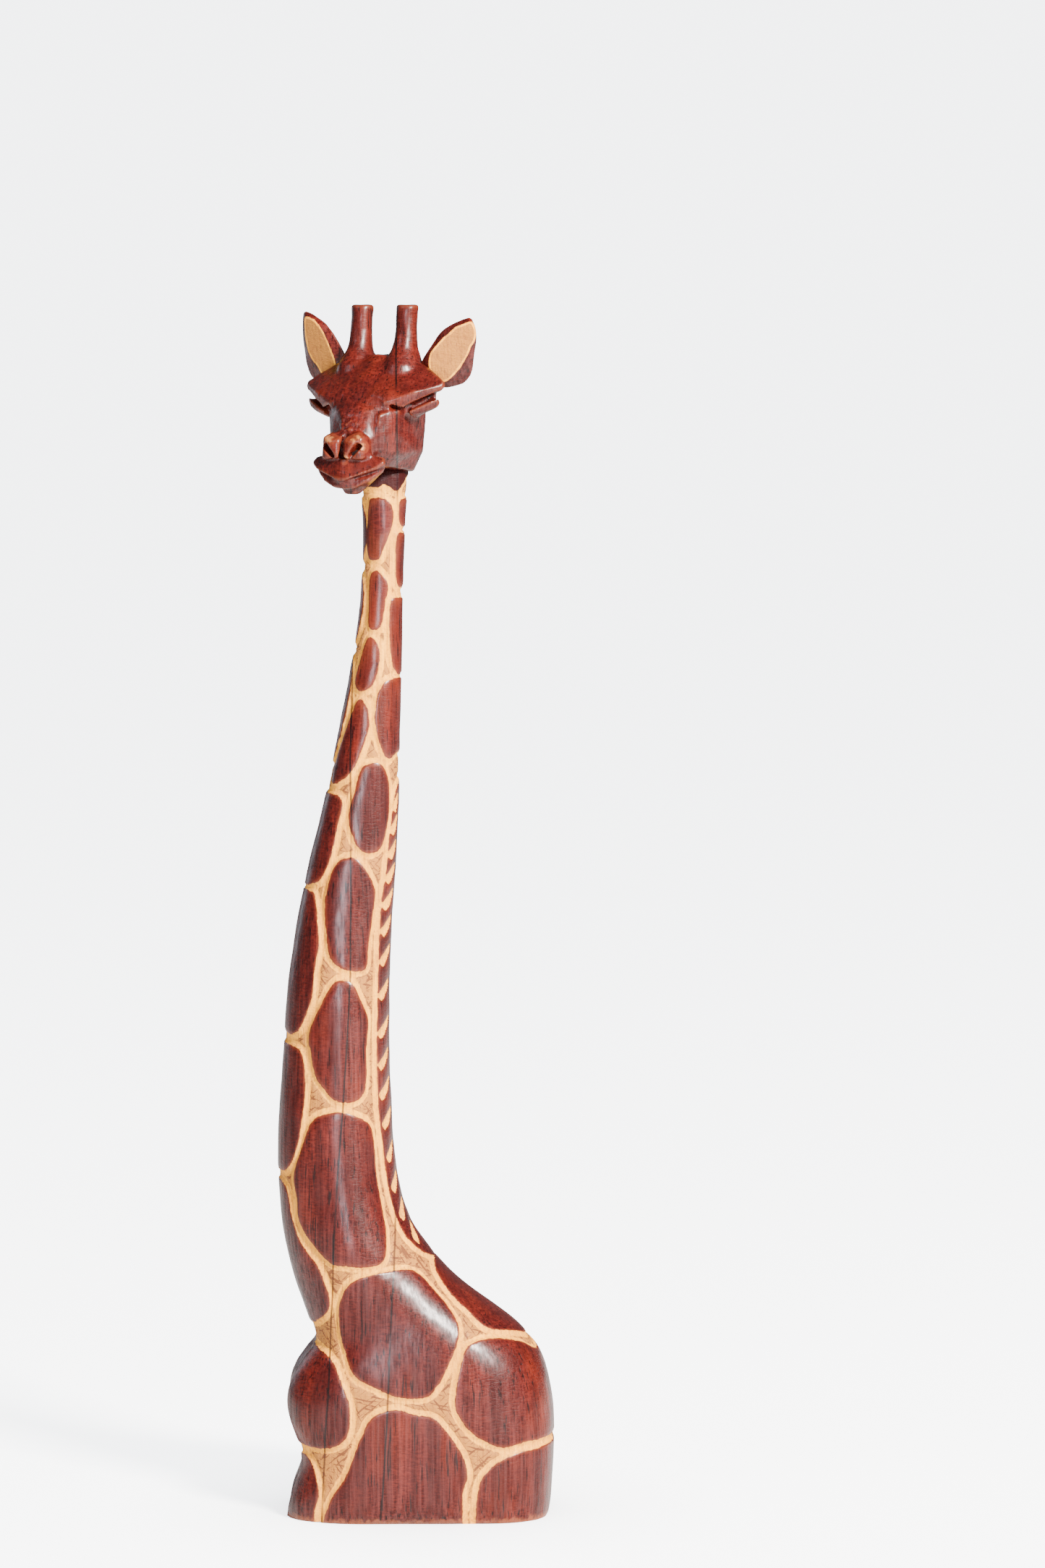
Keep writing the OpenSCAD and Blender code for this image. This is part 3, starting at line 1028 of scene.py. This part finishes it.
def ring_line(wire, height, points):
    """The x of one growth ring at each height, in metres."""
    bend = wire.new("FloatCurve")
    curve = bend.mapping.curves[0]
    for z, x in points:
        curve.points.new(z / RING_TOP, 1 + x / RING_REACH)
    curve.points[0].location = (0, 1 + points[0][1] / RING_REACH)
    curve.points[-1].location = (1, 1 + points[-1][1] / RING_REACH)
    bend.mapping.update()
    wire.feed(bend.inputs["Value"], height)
    return wire.maths("MULTIPLY_ADD", bend.outputs["Value"], RING_REACH * MM, -RING_REACH * MM)


def ring_group():
    """The dark growth rings, 1 on a hairline."""
    tree, wire, end = new_group("growth_rings", ["Lines"])
    height = wire.maths("DIVIDE", wire.along("Z"), RING_TOP * MM)
    wander = wire.noise(wire.place((40, 40, 40)), detail=3)
    across = wire.maths("MULTIPLY_ADD", wander, RING_WANDER, -RING_WANDER / 2)
    across = wire.maths("ADD", wire.along("X"), across)
    lines = 0.0
    for points in RING_LINES:
        gap = wire.maths("SUBTRACT", across, ring_line(wire, height, points))
        mask = wire.ramp(wire.maths("ABSOLUTE", gap), *RING_EDGE, 1, 0)
        foot, top = points[0][0] / RING_TOP, points[-1][0] / RING_TOP
        mask = wire.times(mask, wire.ramp(height, foot - 0.02, foot + 0.001))
        mask = wire.times(mask, wire.ramp(height, top, top + 0.02, 1, 0))
        lines = wire.maths("MAXIMUM", lines, mask)
    broken = wire.ramp(wire.noise(wire.place((60, 60, 60)), detail=2), 0.25, 0.45)
    wire.feed(end["Lines"], wire.times(lines, broken))
    return tree


# The slants of the knife's scratches, in degrees, and how many lie across, in depth and
# along in a metre
SCRATCH_SLANTS = (35, -50, 78)
SCRATCH_STRETCH = (1900, 700, 170)


def scratch_group():
    """Knife scratches that cross each other at a slant, 1 on a scratch."""
    tree, wire, end = new_group("knife_scratches", ["Marks"])
    marks = 0.0
    for slant in SCRATCH_SLANTS:
        leaning = wire.stretch(wire.place(turn=(0, math.radians(slant), 0)), SCRATCH_STRETCH)
        mask = wire.ramp(wire.noise(leaning, detail=1, distortion=0.5), 0.6, 0.66)
        marks = wire.maths("MAXIMUM", marks, mask)
    wire.feed(end["Marks"], marks)
    return tree


GRAIN = grain_group()
RINGS = ring_group()
SCRATCHES = scratch_group()

# Linear colours of the red-brown stain, and of what darkens or lightens it
STAIN = {
    "deep": (0.016, 0.0013, 0.0011, 1),
    "bright": (0.085, 0.0058, 0.0036, 1),
    "flecks": (0.145, 0.0175, 0.0105, 1),
    "warm_places": (0.17, 0.018, 0.005, 1),
    "blotches": (0.035, 0.0032, 0.003, 1),
    "bands": (0.02, 0.0024, 0.0024, 1),
    "pores": (0.005, 0.001, 0.001, 1),
    "rubbed": (0.15, 0.027, 0.01, 1),
    "worn_through": (0.42, 0.16, 0.05, 1),
    "hollows": (0.007, 0.0015, 0.0015, 1),
    "rings": (0.005, 0.0015, 0.0015, 1),
    "scuffs": (0.24, 0.062, 0.022, 1),
    # Darker neck under the jaw: pooled stain, with a painted shadow of the jaw
    "pooled_stain_and_shade": (0.014, 0.002, 0.003, 1),
}
# Linear colours of the bare wood in the gouged lines, and of what darkens it
BARE = {
    "deep": (0.72, 0.275, 0.02, 1),
    "bright": (0.93, 0.415, 0.042, 1),
    "bands": (0.5, 0.19, 0.03, 1),
    "lands": (0.31, 0.12, 0.031, 1),
    "pores": (0.2, 0.08, 0.03, 1),
    "scratches": (0.12, 0.04, 0.018, 1),
    "grime": (0.28, 0.1, 0.03, 1),
    "seams": (0.14, 0.05, 0.022, 1),
    "bled_stain": (0.3, 0.08, 0.025, 1),
    "rings": (0.06, 0.022, 0.012, 1),
}
# The resting edge is scuffed up to about this height, and the neck is darker under the
# jaw, from pooled stain and a painted shadow of the jaw
SCUFFED_HEIGHT = 1.4 * MM
POOLED_AND_SHADED_FROM = (254 * MM, 259 * MM)
# Millimetres inside a gouged line: where the rougher land begins, and the seam before it
LAND_EDGE = (-1.35, -1.75)
SEAM = 1.5


def new_material(name):
    material = bpy.data.materials.new(name)
    material.use_nodes = True
    wire = Wiring(material.node_tree)
    shader = material.node_tree.nodes["Principled BSDF"]
    return material, wire, shader.inputs


def stain_colour(wire, grain, lines, ragged, under_jaw, worn_at, worn_through):
    """The stained wood: grain, then wear on what stands out, then darker hollows."""
    ridge = wire.attribute("ridge")
    warm = wire.noise(wire.place((60, 60, 30), shift=(3, 1, 2)), detail=3)
    thin = wire.maths("ADD", ridge, wire.maths("MULTIPLY_ADD", ragged, 0.5, -0.25))
    above_scuffs = wire.maths("MULTIPLY_ADD", ragged, 3 * MM, 0.2 * MM)
    above_scuffs = wire.maths("SUBTRACT", wire.along("Z"), above_scuffs)
    return wire.layers(wire.mix(grain["Streaks"], STAIN["deep"], STAIN["bright"]), [
        (wire.times(grain["Flecks"], 0.4), STAIN["flecks"]),
        (wire.ramp(warm, 0.5, 0.72, 0, 0.45), STAIN["warm_places"]),
        (wire.times(grain["Blotches"], 0.55), STAIN["blotches"]),
        (wire.times(grain["Bands"], 0.5), STAIN["bands"]),
        (wire.times(grain["Pores"], 0.85), STAIN["pores"]),
        (wire.ramp(ridge, 0.04, worn_at, 0, 0.5), STAIN["rubbed"]),
        (wire.ramp(thin, *worn_through, 0, 0.75), STAIN["worn_through"]),
        (wire.ramp(ridge, -0.06, -0.25, 0, 0.85), STAIN["hollows"]),
        (wire.times(lines, 0.9), STAIN["rings"]),
        (wire.ramp(above_scuffs, 0, -SCUFFED_HEIGHT, 0, 0.6), STAIN["scuffs"]),
        (under_jaw, STAIN["pooled_stain_and_shade"]),
    ])


def bare_colour(wire, grain, lines, spot, scored):
    """The bare wood of the gouged lines, rougher and darker on the lands between them."""
    land = wire.ramp(spot, *LAND_EDGE)
    rough = wire.blend(land, 0.15 * scored, 0.9 * scored)
    grime = wire.noise(wire.place((420, 420, 200)), detail=4, roughness=0.7)
    seam = wire.maths("ABSOLUTE", wire.maths("ADD", spot, SEAM))
    seam = wire.times(wire.ramp(seam, 0.05, 0.2, 0.7, 0), wire.ramp(grime, 0.4, 0.55))
    return wire.layers(wire.mix(grain["Streaks"], BARE["deep"], BARE["bright"]), [
        (wire.times(grain["Bands"], 0.3), BARE["bands"]),
        (wire.times(land, 0.85), BARE["lands"]),
        (wire.times(grain["Pores"], 0.45), BARE["pores"]),
        (wire.times(wire.group(SCRATCHES)["Marks"], rough), BARE["scratches"]),
        (wire.ramp(grime, 0.54, 0.7, 0, 0.5), BARE["grime"]),
        (seam, BARE["seams"]),
        (wire.times(wire.ramp(spot, -0.35, -0.05), 0.3), BARE["bled_stain"]),
        (wire.times(lines, 0.85), BARE["rings"]),
    ])


def carved_wood(name, worn_at, worn_through, pooled_stain_and_shade, scored):
    """Stained spots and bare gouged lines, told apart by the spot attribute. The ridge
    attribute says where hands have lightened the stain and where it is worn through.
    The share given for under the jaw says how much darker the neck is close under the
    jaw, from pooled stain and a painted shadow of the jaw, and scored is how strongly
    the knife's scratches show on bare wood."""
    material, wire, shader = new_material(name)
    grain = wire.group(GRAIN)
    lines = wire.group(RINGS)["Lines"]
    ragged = wire.noise(wire.place((900, 900, 500)), detail=2)
    spot = wire.maths("ADD", wire.attribute("spot"), wire.maths("MULTIPLY_ADD", ragged, 0.6, -0.3))
    stained = wire.ramp(spot, -0.08, 0.08)
    # Darker under the jaw: pooled stain and a painted shadow of the jaw
    under_jaw = wire.times(wire.ramp(wire.along("Z"), *POOLED_AND_SHADED_FROM), pooled_stain_and_shade)

    stain = stain_colour(wire, grain, lines, ragged, under_jaw, worn_at, worn_through)
    bare = bare_colour(wire, grain, lines, spot, scored)
    wire.feed(shader["Base Color"], wire.mix(stained, bare, stain))
    wire.feed(shader["Roughness"], wire.blend(stained, 0.6, 0.4))
    varnish = wire.blend(grain["Streaks"], 0.2, 0.66)
    varnish = wire.times(varnish, wire.blend(under_jaw, 1, 0.2))
    varnish = wire.times(varnish, wire.blend(stained, 0.06, 1))
    wire.feed(shader["Coat Weight"], varnish)
    shader["Coat Roughness"].default_value = 0.27
    shader["Specular IOR Level"].default_value = 0.07
    flats = wire.noise(wire.place((330, 330, 120)), detail=2)
    relief = wire.maths("ADD", grain["Streaks"], grain["Flecks"])
    relief = wire.maths("MULTIPLY_ADD", grain["Pores"], -0.5, relief)
    soft = wire.bump(flats, 0.5 * MM, 0.35)
    wire.feed(shader["Normal"], wire.bump(relief, 0.1 * MM, 0.5, soft))
    return material


def plain_wood(name):
    material, wire, shader = new_material(name)
    streaks = wire.group(GRAIN)["Streaks"]
    wire.feed(shader["Base Color"], wire.mix(streaks, (0.5, 0.27, 0.09, 1), (0.68, 0.4, 0.15, 1)))
    shader["Roughness"].default_value = 0.6
    return material


BODY_WOOD = carved_wood("stained_and_gouged_wood", 0.12, (0.35, 0.6), pooled_stain_and_shade=0.9, scored=1)
HEAD_WOOD = carved_wood("stained_head_wood", 0.12, (0.36, 0.58), pooled_stain_and_shade=0, scored=0.2)
DOWEL_WOOD = plain_wood("bare_wood")


def dress(piece, material, slot, *nodes):
    """Gives a piece its material and its place in the frame."""
    piece.data.materials.clear()
    piece.data.materials.append(material)
    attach(piece, "root")
    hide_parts(*nodes)


dress(body, BODY_WOOD, "stained_wood", "carved_body")
dress(head, HEAD_WOOD, "stained_wood", "head")
for node, ear in ears.items():
    dress(ear, HEAD_WOOD, "stained_wood", node)
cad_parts["neck_dowel"].data.materials.clear()
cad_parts["neck_dowel"].data.materials.append(DOWEL_WOOD)


# ---------------------------------------------------------------- floor, light, camera

FLOOR_GREY = 0.8
FLOOR_GLOW = 5.4
ROOM_LIGHT = 0.17
BACKDROP = FLOOR_GLOW + ROOM_LIGHT * FLOOR_GREY
# A painted contact shadow: the floor darkens to this share of its glow close to the object,
# within this reach
CONTACT_SHADOW_SHARE = 0.1
CONTACT_SHADOW_REACH = 0.05
PALE_SKY = (0.95, 0.97, 1)

CAMERA_PLACE = (0.0256, -1.435, 0.3)
CAMERA_DIP = math.radians(4.63)
CAMERA_LENS = 132
CAMERA_SENSOR = 36

# Name, place, what it is aimed at, width and height, power in watts, and colour
LIGHTS = [
    ("key", (0.9, -1.2, 1.1), (0, 0, 0.12), (0.36, 0.36), 185, (1, 0.95, 0.88)),
    ("sheen", (-0.21, -1.16, 0.29), (0, 0, 0.1), (0.26, 0.2), 8, (0.84, 0.92, 1)),
    ("sky", (-0.85, -0.6, 1), (0, 0, 0.2), (0.4, 0.4), 3, (0.8, 0.9, 1)),
    ("rim", (-0.9, 0.9, 0.35), (0, 0, 0.2), (0.5, 0.5), 1.8, (0.8, 0.9, 1)),
]


def studio_floor():
    """A pale floor with an even glow to the camera, darker where the object touches it: a painted
    contact shadow.
    """
    bpy.ops.mesh.primitive_plane_add(size=30, location=(0, 10, 0))
    floor = bpy.context.object
    floor.name = "studio_floor"
    material, wire, shader = new_material("pale_floor")
    shader["Base Color"].default_value = (FLOOR_GREY, FLOOR_GREY, FLOOR_GREY, 1)
    shader["Roughness"].default_value = 0.85
    shader["Specular IOR Level"].default_value = 0.1
    shader["Emission Color"].default_value = (*PALE_SKY, 1)
    # Ambient occlusion darkens the floor's glow near the object: a painted contact shadow
    contact_shadow = wire.new("AmbientOcclusion")
    contact_shadow.inputs["Distance"].default_value = CONTACT_SHADOW_REACH
    glow = wire.blend(contact_shadow.outputs["AO"], CONTACT_SHADOW_SHARE * FLOOR_GLOW, FLOOR_GLOW)
    seen = wire.new("LightPath").outputs["Is Camera Ray"]
    wire.feed(shader["Emission Strength"], wire.times(seen, glow))
    floor.data.materials.append(material)


def studio_world():
    """A pale backdrop to the camera, and a softer, dimmer room to the object."""
    world = bpy.data.worlds.new("studio_world")
    world.use_nodes = True
    wire = Wiring(world.node_tree)
    background = world.node_tree.nodes["Background"].inputs
    background["Color"].default_value = (*PALE_SKY, 1)
    seen = wire.new("LightPath").outputs["Is Camera Ray"]
    wire.feed(background["Strength"], wire.blend(seen, ROOM_LIGHT, BACKDROP))
    bpy.context.scene.world = world


def soft_light(name, place, target, size, power, colour):
    data = bpy.data.lights.new(name, "AREA")
    data.shape = "RECTANGLE"
    data.size, data.size_y = size
    data.energy = power
    data.color = colour
    lamp = in_scene(name, data)
    lamp.location = place
    lamp.rotation_euler = (Vector(target) - Vector(place)).to_track_quat("-Z", "Y").to_euler()
    lamp.visible_camera = False


def studio_camera():
    data = bpy.data.cameras.new("camera")
    data.sensor_fit = "VERTICAL"
    data.sensor_height = CAMERA_SENSOR
    data.lens = CAMERA_LENS
    camera = in_scene("camera", data)
    camera.location = CAMERA_PLACE
    camera.rotation_euler = (math.radians(90) - CAMERA_DIP, 0, 0)
    bpy.context.scene.camera = camera


studio_camera()
studio_floor()
studio_world()
for light in LIGHTS:
    soft_light(*light)
